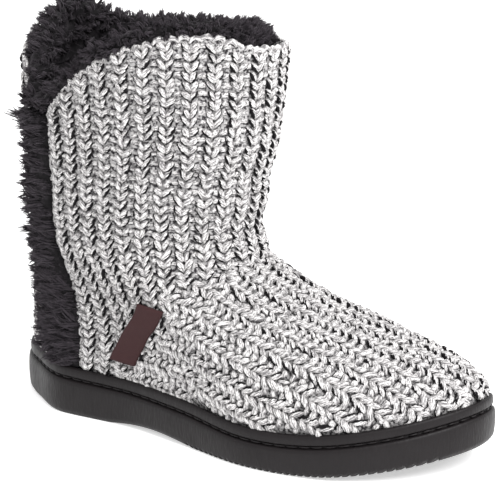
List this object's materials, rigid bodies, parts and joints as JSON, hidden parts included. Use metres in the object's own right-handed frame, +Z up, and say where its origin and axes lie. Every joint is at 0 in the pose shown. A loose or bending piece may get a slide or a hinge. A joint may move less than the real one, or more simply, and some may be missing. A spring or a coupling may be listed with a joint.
{
  "type": "slipper boot",
  "caption": "Pull-on knitted slipper boot for the right foot: ribbed upper with a fur-filled slit at the outer back, fur collar, blank side tab, footbed and moulded rubber cup sole.",
  "frame": {"origin": "on the flat tread face of the heel, under the heel's centre", "axes": "+X towards the toe, +Y towards the inner (medial) side of this right shoe, +Z up"},
  "size_m": [0.265, 0.1085, 0.2089],
  "materials": {
    "sole_rubber": "semi-matte moulded rubber with a fine slanted grain",
    "marled_knit": "chunky rib knit of off-white, grey and black marled yarn",
    "footbed_fabric": "dark pile fabric",
    "curly_fur": "deep curly charcoal pile",
    "label_ribbon": "matte dark brown woven ribbon"
  },
  "bodies": {
    "root": {"outsole": "sole_rubber", "upper": "marled_knit", "insole": "footbed_fabric", "fur_cuff": "curly_fur", "fur_gusset": "curly_fur", "side_label": "label_ribbon"}
  },
  "joints": []
}
